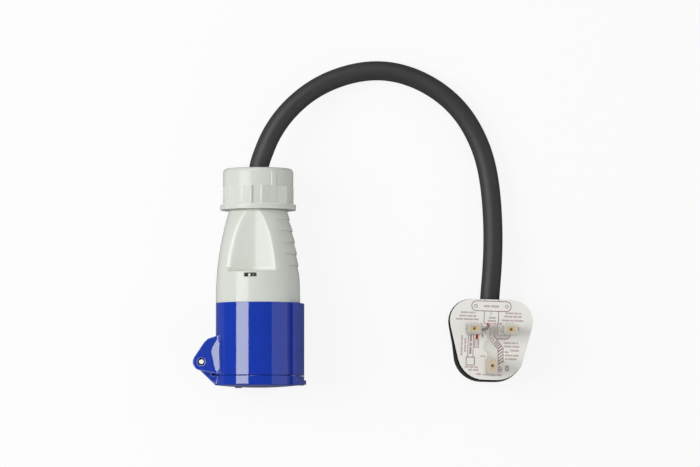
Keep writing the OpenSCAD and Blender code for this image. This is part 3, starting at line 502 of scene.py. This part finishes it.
def add_second_finishes():
    cap = (PLUG[2] + PIN_LEN) / 1000
    second_finish("pin_guard", MILKY,
                  lambda face: abs(face.normal.z) > LEVEL and face.center.z > cap)
    second_finish("pin_guard", MILKY_WEB,
                  lambda face: abs(face.normal.z) > LEVEL and face.center.z < cap)
    for node, (_, _, length) in zip(("pin_line", "pin_neutral", "pin_earth"), PIN_TIPS):
        tip = (PLUG[2] + length - PIN_BEVEL) / 1000
        second_finish(node, BRASS_PALE,
                      lambda face: face.center.z > tip and abs(face.normal.z) < NEARLY_LEVEL)
    # Painted shade in the sunk ring around the hinge pin
    for node in ("hinge_ear_upper", "hinge_ear_lower"):
        second_finish(node, SHADED_RECESS, in_recess)
    # Painted reflection on the key block's top faces
    for node in ("front_housing", "lid"):
        second_finish(node, BLUE_KEY_PAINTED_REFLECTION, on_key)
    # Painted shade on the right half of the release clip
    second_finish("release_clip", STEEL_PAINTED_SHADE, on_shaded_clip_half)


add_second_finishes()


# Cable, from inside the connector to inside the plug, in millimetres

CABLE_ROUTE = [(5.05, y, 25.5) for y in (37.3, 43, 48.8, 54, 58.8, 60.5, 62)] + [
    (5.1, 64, 25.5), (5.5, 66.35, 25.5), (5.73, 69, 25.5), (6.7, 72.2, 25.4), (8.45, 76.8, 25),
    (10, 81, 24.5), (12.3, 86.2, 23.6), (16.9, 94.5, 21.6), (23.5, 102.8, 19), (32, 111.2, 16),
    (43, 119, 12.8), (56, 124.7, 9.8), (70, 128.4, 7.6), (84.5, 128.9, 6.6), (98.5, 125.6, 6.4),
    (112, 119.3, 6.4), (123.6, 110.6, 6.4), (131.9, 101.2, 6.4), (137.8, 91.4, 6.4),
    (142.5, 81, 6.6), (145.4, 71, 7), (147.2, 61, 7.8), (148.5, 49, 9), (149.1, 36, 10.6),
    (149.2, 23, 12.2), (148.6, 10, 13.4), (147.7, -2, 14),
] + [tuple(plug_point(0, y, -CABLE_DEPTH) * 1000) for y in (21.6, 14.6, 7)]
CABLE_STEPS = 6
CABLE_ROUNDS = 30


def smooth_path(points, steps):
    """Points of a smooth curve through a list of points."""
    pts = [Vector(p) for p in points]
    pts = [2 * pts[0] - pts[1]] + pts + [2 * pts[-1] - pts[-2]]
    out = []
    for a, b, c, d in zip(pts, pts[1:], pts[2:], pts[3:]):
        for k in range(steps):
            t = k / steps
            bend = (2 * a - 5 * b + 4 * c - d) * t ** 2
            twist = (3 * b - a - 3 * c + d) * t ** 3
            out.append(0.5 * (2 * b + (c - a) * t + bend + twist))
    out.append(pts[-2])
    return out


def relaxed(points, rounds):
    """The same path with its small kinks evened out; both ends stay."""
    pts = [p.copy() for p in points]
    for _ in range(rounds):
        inner = [(a + 2 * b + c) / 4 for a, b, c in zip(pts, pts[1:], pts[2:])]
        pts = [pts[0]] + inner + [pts[-1]]
    return pts


def path_length(points):
    return sum((b - a).length for a, b in zip(points, points[1:]))


def add_cable():
    path = [p / 1000 for p in relaxed(smooth_path(CABLE_ROUTE, CABLE_STEPS), CABLE_ROUNDS)]
    curve = bpy.data.curves.new("mains_cable", "CURVE")
    curve.dimensions = "3D"
    curve.bevel_depth = CABLE_R / 1000
    curve.bevel_resolution = 8
    curve.use_fill_caps = True
    spline = curve.splines.new("POLY")
    spline.points.add(len(path) - 1)
    for point, p in zip(spline.points, path):
        point.co = (*p, 1)
    spline.use_smooth = True
    cable = link(bpy.data.objects.new("mains_cable", curve))
    curve.materials.append(RUBBER)
    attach(cable, "connector")
    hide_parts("cable")
    return cable, path_length(path)


cable, cable_length = add_cable()


# Flat shapes of the wiring card's print, as lists of points in the card's own millimetres

CARD_SHIFT = (-0.15, 0.6)
CARD_TURN = radians(-0.5)
DOT_STEP = 0.62
DOT_HALF = 0.3


def card_point(x, y, height):
    """Card's own millimetres to the shared frame; the print lies a little off the plug's middle."""
    u = CARD_SHIFT[0] + x * cos(CARD_TURN) - y * sin(CARD_TURN)
    v = CARD_SHIFT[1] + x * sin(CARD_TURN) + y * cos(CARD_TURN)
    return plug_point(u, v, CARD_TOP + height)


def block(x0, y0, x1, y1):
    return [(x0, y0), (x1, y0), (x1, y1), (x0, y1)]


def stroke(points, width):
    """Line of even width through a list of points, as one quad for each stretch."""
    out = []
    for (x0, y0), (x1, y1) in zip(points, points[1:]):
        run = sqrt((x1 - x0) ** 2 + (y1 - y0) ** 2)
        nx, ny = -(y1 - y0) / run * width / 2, (x1 - x0) / run * width / 2
        out.append([(x0 - nx, y0 - ny), (x1 - nx, y1 - ny), (x1 + nx, y1 + ny),
                    (x0 + nx, y0 + ny)])
    return out


def arc(cx, cy, r, a0, a1, n=16):
    """Points along an arc from a0 to a1 degrees."""
    angles = [radians(a0 + (a1 - a0) * i / n) for i in range(n + 1)]
    return [(cx + r * cos(a), cy + r * sin(a)) for a in angles]


def outline_box(x0, y0, x1, y1, width):
    corners = block(x0, y0, x1, y1)
    return stroke(corners + corners[:1], width)


def dashes(x0, x1, y, height, pieces, gap=0.45):
    """Row of short bars standing for a line of print; pieces are their shares of the length."""
    out, x = [], x0
    total = sum(pieces)
    for size in pieces:
        end = x + (x1 - x0 - gap * (len(pieces) - 1)) * size / total
        out.append(block(x, y - height / 2, end, y + height / 2))
        x = end + gap
    return out


def turned(shapes):
    """The same shapes with x and y exchanged, for print that runs across the card."""
    return [[(y, x) for x, y in reversed(shape)] for shape in shapes]


def checkered(x, y, columns, rows):
    """Small squares in every other place of a grid that starts at its upper left."""
    out = []
    for i in range(columns):
        for j in range(rows):
            if (i + j) % 2 == 0:
                u, v = x + DOT_STEP * i, y - DOT_STEP * j
                out.append(block(u - DOT_HALF, v - DOT_HALF, u + DOT_HALF, v + DOT_HALF))
    return out


def point_along(edge, t):
    """Point at the share t of a bent line's length."""
    lengths = [sqrt((b[0] - a[0]) ** 2 + (b[1] - a[1]) ** 2) for a, b in zip(edge, edge[1:])]
    reach = t * sum(lengths)
    for (a, b), run in zip(zip(edge, edge[1:]), lengths):
        if reach <= run:
            return (a[0] + (b[0] - a[0]) * reach / run, a[1] + (b[1] - a[1]) * reach / run)
        reach -= run
    return edge[-1]


def band_stripes(left, right, count, fill, lean):
    """Stripes between the two edges of a printed band; lean shifts their right ends along it."""
    out = []
    for i in range(count):
        t0, t1 = (i + 0.5 - fill / 2) / count, (i + 0.5 + fill / 2) / count
        u0, u1 = (min(max(t + lean, 0), 1) for t in (t0, t1))
        out.append([point_along(left, t0), point_along(left, t1),
                    point_along(right, u1), point_along(right, u0)])
    return out


# Wiring card print

lines, mid, pale, red = [], [], [], []


def draw_cord_grip():
    """Cord grip at the top, and the mouth below it that the three cores leave."""
    stadium = arc(-8.75, 13.8, 3.0, 90, 270) + arc(9.2, 13.9, 3.0, -90, 90)
    lines.extend(stroke(stadium + stadium[:1], 0.4))
    for x, y in ((-9.25, 13.75), (9.55, 13.85)):
        lines.extend(stroke(arc(x, y, 0.9, 0, 360), 0.32))
    for x in (-4.0, 4.7):
        lines.extend(stroke([(x, 16.8), (x, 18.2)], 0.3) + stroke([(x, 10.8), (x, 3.4)], 0.36))
    lines.extend(stroke([(0.1, 10.9), (0.1, 8.2)], 0.26))
    lines.extend(stroke([(-4.0, 3.4), (-2.4, 3.4)], 0.3))
    lines.extend(dashes(-0.6, 4.6, 3.3, 0.4, (1, 1, 1, 1), 0.7))


def draw_line_core():
    """Line core, the fuse beside it and its holder."""
    red.extend([block(-2.4, 2.2, -0.75, 3.5), block(-8.8, -6.2, -7.25, -3.7)])
    core = [(-1.4, 2.2), (-1.75, 0.9), (-2.6, 0.1), (-3.7, -0.35), (-5.3, -0.5)]
    mid.extend(stroke(core, 1.5))
    core_edge = [(-0.7, 2.2), (-1.1, 0.7), (-2.2, -0.5), (-3.6, -1.1), (-5.3, -1.25)]
    lines.extend(stroke(core_edge, 0.4))
    lines.extend(stroke([(-5.8, 3.4), (-5.5, 2.6), (-5.0, 2.2)], 0.5))
    hook = [(-7.1, -4.0), (-6.4, -3.15), (-5.4, -2.95), (-4.7, -3.5), (-4.6, -5.3)]
    lines.extend(stroke(hook, 0.5))
    lines.extend(outline_box(-9.25, -11.4, -6.85, -6.3, 0.36))
    lines.extend(outline_box(-8.45, -10.2, -7.55, -6.9, 0.22))
    for x in (-13.3, -10.1):
        lines.extend(stroke([(x, -3.2), (x, -17.4)], 0.36))
    lines.extend(outline_box(-14.1, -22.3, -9.1, -17.5, 0.42))
    lines.extend(stroke([(-5.4, -16.65), (-2.3, -16.6)], 0.36))


def draw_earth_core():
    """Earth core, with pale stripes above and bold ones below, and the signs under it."""
    upper_left = [(-0.5, 2.9), (-0.25, -5.5), (2.1, -9.0)]
    upper_right = [(2.25, 3.1), (2.5, -4.1), (3.7, -5.9)]
    lower_left = [(2.2, -9.1), (5.05, -12.4), (5.35, -22.0)]
    lower_right = [(3.8, -5.9), (8.15, -11.3), (8.45, -20.4)]
    pale.extend(band_stripes(upper_left, upper_right, 6, 0.4, -0.12))
    for i in range(4):
        x, y = 2.3 + 0.92 * i, -9.2 - 0.92 * i
        lines.extend(stroke([(x, y), (x + 1.9, y + 1.8)], 0.5))
    for i in range(5):
        x, y = 5.05 + 0.1 * i, -13.9 - 1.87 * i
        lines.extend(stroke([(x, y), (x + 2.9, y + 2.4)], 0.55))
    pale.extend(stroke(upper_left, 0.3) + stroke(upper_right, 0.25))
    lines.extend(stroke(lower_left, 0.32) + stroke(lower_right, 0.32))
    lines.extend(stroke(arc(6.15, -24.3, 1.5, 0, 360), 0.34))
    lines.extend(stroke([(6.15, -23.3), (6.15, -24.5)], 0.4))
    lines.extend(stroke([(5.3, -24.5), (7.0, -24.5)], 0.4))
    lines.extend(outline_box(10.2, -24.8, 11.6, -22.3, 0.5))


def draw_neutral_core():
    """Neutral core, shaded with small squares."""
    lines.extend(stroke([(4.5, 3.4), (4.55, -3.6)], 0.2))
    lines.extend(dashes(4.6, 9.6, -3.55, 0.45, (1, 1, 1, 1, 1), 0.5))
    lines.extend(stroke([(3.8, -5.9), (10.0, -5.9), (11.4, -5.1), (12.05, -3.55)], 0.45))
    lines.extend(stroke([(5.6, 2.3), (5.9, 3.3), (6.9, 3.75)], 0.45))
    lines.append([(16.4, -0.6), (17.3, -0.4), (17.4, 2.0), (16.9, 1.2)])
    pale.extend(checkered(2.8, 2.8, 3, 14) + checkered(4.9, -4.1, 10, 3))


def draw_writing():
    """Lines of writing, shown as plain bars: x0, x1, y and the shares of the bars."""
    rows = [
        (-18.5, -9.1, 9.6, (5, 3, 1)), (-19.1, -8.9, 7.5, (4, 3, 2)),
        (-21.0, -7.4, 5.5, (3, 4, 2)), (8.8, 18.5, 9.9, (4, 2, 1)),
        (8.2, 18.9, 7.9, (4, 2, 2)), (6.9, 19.9, 5.5, (4, 2, 5)),
        (8.4, 17.2, -8.2, (4, 2, 1)), (8.8, 18.0, -10.3, (4, 4)),
        (12.5, 17.9, -12.7, (5,)), (9.3, 17.7, -15.7, (3, 2)),
        (9.6, 16.7, -17.9, (1, 5)), (-1.2, 3.0, 6.8, (3,)),
        (-1.8, 3.2, 4.9, (4,)), (-14.9, -6.8, -23.5, (2, 2, 2)),
        (-12.6, -6.5, -25.2, (2, 3)), (-7.8, -4.9, -27.6, (2,)),
        (-3.8, 7.7, -27.8, (1, 1, 1, 4, 3)),
    ]
    for x0, x1, y, pieces in rows:
        pale.extend(dashes(x0, x1, y, 1.0, pieces))
    pale.extend(dashes(-4.4, 4.8, 13.75, 1.2, (4, 5), 0.7))
    mid.extend(dashes(-15.2, -7.9, 3.4, 0.45, (1, 1, 1, 1, 1), 1.2))
    mid.extend(dashes(9.3, 14.2, 3.9, 0.45, (1, 1, 1), 1.5))
    lines.extend(dashes(9.4, 11.3, -13.7, 0.7, (2, 1), 0.2))
    pale.extend(turned(dashes(-16.7, -4.4, -17.1, 1.0, (5, 2, 3))))
    pale.extend(turned(dashes(-14.6, -6.1, -15.0, 1.0, (4, 3))))
    mid.extend(turned(dashes(-15.7, -3.9, -11.7, 1.3, (4, 2, 4), 0.6)))


def print_object(name, shapes, material, height):
    """Flat shapes lying just above the card."""
    verts, faces = [], []
    for shape in shapes:
        faces.append(list(range(len(verts), len(verts) + len(shape))))
        verts += [card_point(x, y, height) for x, y in shape]
    obj = add_mesh(name, verts, faces, material)
    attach(obj, "connector")


def add_print():
    draw_cord_grip()
    draw_line_core()
    draw_earth_core()
    draw_neutral_core()
    draw_writing()
    print_object("card_print_pale", pale, INK_PALE, 0.02)
    print_object("card_print_mid", mid, INK_MID, 0.03)
    print_object("card_print_lines", lines, INK, 0.04)
    print_object("card_print_red", red, INK_RED, 0.04)


add_print()


# Painted shade on the pin ends

MARK_R = 0.9
MARK_RISE = 0.03


def add_pin_shade_marks(sides=24):
    """Dark disc on the end of each pin under the guard's vent hole: painted shade, where the brass
    looks darker through the hole; the pins have no such mark.
    """
    verts, faces = [], []
    for x, y, z in PIN_TIPS:
        ring = arc(x, y, MARK_R, 0, 360, sides)[:-1]
        faces.append(list(range(len(verts), len(verts) + len(ring))))
        verts += [plug_point(u, v, z + MARK_RISE) for u, v in ring]
    marks = add_mesh("pin_shade_marks", verts, faces, BRASS_PAINTED_SHADE)
    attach(marks, "connector")


add_pin_shade_marks()


# Ramp from each ear's face up to the sleeve

RAMP_EDGE = [
    (1.0, -21.1), (2.5, -22.9), (5.6, -24.0), (8.6, -24.5), (11.5, -25.2), (14.0, -25.7),
    (15.6, -25.5), (18.0, -24.5), (20.6, -22.9), (23.3, -21.1),
]
RAMP_END = -20.4
RAMP_FIRST_SLOPE = 2.5
RAMP_MORE_SLOPE = 14.5


def add_ramps(columns=8):
    """Shallow hollow ramp, widest in the middle of the ear; its slope grows towards the sleeve."""
    edge = smooth_path([(z, x, 0) for z, x in RAMP_EDGE], 3)
    verts, faces = [], []
    for side in (-1, 1):
        base = len(verts)
        for point in edge:
            z, x0 = point.x, point.y
            height = 0
            for k in range(columns + 1):
                if k:
                    slope = radians(RAMP_FIRST_SLOPE + RAMP_MORE_SLOPE * (k - 0.5) / columns)
                    height += tan(slope) * (RAMP_END - x0) / columns
                x = x0 + (RAMP_END - x0) * k / columns
                verts.append(connector_point(x, side * (EAR_HALF + height + STAND_OFF), z))
            verts.append(connector_point(RAMP_END + 0.1, side * EAR_HALF, z))
        row = columns + 2
        for i in range(len(edge) - 1):
            for k in range(row - 1):
                a = base + i * row + k
                quad = (a, a + 1, a + 1 + row, a + row)
                faces.append(quad if side < 0 else quad[::-1])
    ramps = add_mesh("ear_ramps", verts, faces, BLUE_RAMP, smooth=True)
    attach(ramps, "connector")


add_ramps()


# Painted shade ring on the hinge pin's two ends

PIN_FACE_R = 1.42


def add_pin_shade_rings(sides=32):
    """Thin dark ring on each end of the hinge pin: painted shade at the pin's edge, next to its
    sunk ring.
    """
    verts, faces = [], []
    for side in (-1, 1):
        base = len(verts)
        for r in (PIN_FACE_R, HINGE_PIN_R):
            for x, z in arc(*HINGE, r, 0, 360, sides)[:-1]:
                verts.append(connector_point(x, side * (HINGE_PIN_END + STAND_OFF), z))
        for k in range(sides):
            a, b = base + k, base + (k + 1) % sides
            quad = (a, b, b + sides, a + sides)
            faces.append(quad if side < 0 else quad[::-1])
    edges = add_mesh("hinge_pin_shade_rings", verts, faces, SHADED_RECESS)
    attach(edges, "connector")


add_pin_shade_rings()


# Lid spring: a coil around the hinge's axis with a leg at each end

FIRST_LEG = 9
LAST_LEG = 10
LEG_SHARES = (0.2, 0.4, 0.6, 0.8, 1)
LEG_BEND = 1.4


def spring_path(steps):
    """Middle of the wire around the hinge's axis: a leg, the coil and the other leg."""
    coil = []
    for i in range(SPRING_TURNS * steps + 1):
        a = -2 * pi * i / steps
        along = SPRING_HALF - 2 * SPRING_HALF * i / (SPRING_TURNS * steps)
        coil.append((SPRING_R * cos(a), along, SPRING_R * sin(a)))
    first, last = coil[0], coil[-1]
    lean = -HINGE[0] - SLEEVE_R - SPRING_R - 2 * SPRING_WIRE_R
    path = [(first[0] + lean * k ** LEG_BEND, first[1], FIRST_LEG * k)
            for k in reversed(LEG_SHARES)]
    path += coil
    path += [(last[0] + lean * k ** LEG_BEND, last[1], -LAST_LEG * k) for k in LEG_SHARES]
    return [Vector(p) for p in path]


def add_spring(steps=28, sides=10):
    path = spring_path(steps)
    verts, faces = [], []
    for i, p in enumerate(path):
        t = (path[min(i + 1, len(path) - 1)] - path[max(i - 1, 0)]).normalized()
        u = t.cross(Vector((0, 1, 0))).normalized()
        v = u.cross(t)
        for k in range(sides):
            a = 2 * pi * k / sides
            q = p + SPRING_WIRE_R * (cos(a) * u + sin(a) * v)
            verts.append(connector_point(HINGE[0] + q.x, q.y, HINGE[1] + q.z))
    for i in range(len(path) - 1):
        for k in range(sides):
            a, b = i * sides + k, i * sides + (k + 1) % sides
            faces.append((a, b, b + sides, a + sides))
    faces.append(tuple(range(sides - 1, -1, -1)))
    faces.append(tuple(range(len(verts) - sides, len(verts))))
    spring = add_mesh("lid_spring_coil", verts, faces, STEEL, smooth=True)
    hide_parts("lid_spring")
    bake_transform(spring)


add_spring()


# Floor, world and lights

WHITE = (1, 1, 1, 1)
FLOOR_HALF = 4.0
FLOOR_Z = -0.0002
FLOOR_GREY = (0.86, 0.86, 0.86, 1)
FLOOR_GLOW = 0.87
MIRRORED_FLOOR = 0.04
MIRRORED_FLOOR_MORE = 0.16
MIRRORED_FLOOR_X = -0.15


def mix_by(tree, factor, first, second):
    """Shader that is second where factor is one, and first elsewhere."""
    mix = tree.nodes.new("ShaderNodeMixShader")
    tree.links.new(factor, mix.inputs["Fac"])
    tree.links.new(first, mix.inputs[1])
    tree.links.new(second, mix.inputs[2])
    return mix.outputs["Shader"]


def floor_material():
    """White with a faint shadow; reflections see a darker floor, darkest at the far left."""
    material = bpy.data.materials.new("floor_white")
    material.use_nodes = True
    tree = material.node_tree
    tree.nodes.clear()
    out = tree.nodes.new("ShaderNodeOutputMaterial")
    matte = add_node(tree, "ShaderNodeBsdfDiffuse", Color=FLOOR_GREY)
    dark = tree.nodes.new("ShaderNodeBsdfDiffuse")
    place = tree.nodes.new("ShaderNodeTexCoord")
    split = tree.nodes.new("ShaderNodeSeparateXYZ")
    tree.links.new(place.outputs["Object"], split.inputs["Vector"])
    near = add_math(tree, "GREATER_THAN", split.outputs["X"], MIRRORED_FLOOR_X)
    level = add_math(tree, "MULTIPLY_ADD", near, MIRRORED_FLOOR_MORE, MIRRORED_FLOOR)
    tree.links.new(level, dark.inputs["Color"])
    white = add_node(tree, "ShaderNodeEmission", Color=WHITE, Strength=1.0)
    path = tree.nodes.new("ShaderNodeLightPath")
    seen = add_math(tree, "MULTIPLY", path.outputs["Is Camera Ray"], FLOOR_GLOW)
    plain = mix_by(tree, path.outputs["Is Glossy Ray"], matte.outputs["BSDF"], dark.outputs["BSDF"])
    shade = mix_by(tree, seen, plain, white.outputs["Emission"])
    tree.links.new(shade, out.inputs["Surface"])
    return material


def add_floor():
    corners = block(-FLOOR_HALF, -FLOOR_HALF, FLOOR_HALF, FLOOR_HALF)
    verts = [(x, y, FLOOR_Z) for x, y in corners]
    floor = add_mesh("floor", verts, [(0, 1, 2, 3)], floor_material())


def add_world(level, mirrored):
    """Even white room light; the background is white, and reflections see a dim room."""
    world = bpy.data.worlds.new("studio")
    scene.world = world
    world.use_nodes = True
    tree = world.node_tree
    tree.nodes.clear()
    out = tree.nodes.new("ShaderNodeOutputWorld")
    room, dim, white = (
        add_node(tree, "ShaderNodeBackground", Color=WHITE, Strength=strength).outputs["Background"]
        for strength in (level, mirrored, 1.0)
    )
    path = tree.nodes.new("ShaderNodeLightPath")
    plain = mix_by(tree, path.outputs["Is Glossy Ray"], room, dim)
    shade = mix_by(tree, path.outputs["Is Camera Ray"], plain, white)
    tree.links.new(shade, out.inputs["Surface"])


def add_lamp(name, target, lean, tilt, distance, width, length, radiance, mirrored=True,
             lights=True):
    """Rectangular lamp, seen from the target at lean degrees to the right of straight up and tilt
    degrees towards +Y. mirrored says whether glossy surfaces reflect it, and lights whether it
    lights matt ones."""
    data = bpy.data.lights.new(name, "AREA")
    data.shape = "RECTANGLE"
    data.size = width
    data.size_y = length
    data.energy = radiance * pi * width * length
    lamp = link(bpy.data.objects.new(name, data))
    lean, tilt = radians(lean), radians(tilt)
    back = Vector((sin(lean) * cos(tilt), sin(tilt), cos(lean) * cos(tilt)))
    lamp.matrix_world = facing(Vector(target) + back * distance, back)
    lamp.visible_glossy = mirrored
    lamp.visible_diffuse = lights


add_floor()
add_world(level=0.42, mirrored=0.05)
add_lamp("key", (0.005, 0, 0.03), lean=-44.8, tilt=5, distance=1.0, width=0.64, length=0.56,
         radiance=5.4)
add_lamp("top", (0.06, 0, 0.03), lean=0, tilt=0, distance=3.5, width=2.0, length=2.0,
         radiance=0.9, mirrored=False)
add_lamp("streak", (0.03, 0.1, 0.025), lean=-26, tilt=37, distance=1.0, width=0.55, length=0.5,
         radiance=6, lights=False)
add_lamp("fill", (0.005, 0, 0.03), lean=62, tilt=0, distance=1.6, width=1.5, length=2.4,
         radiance=0.52)
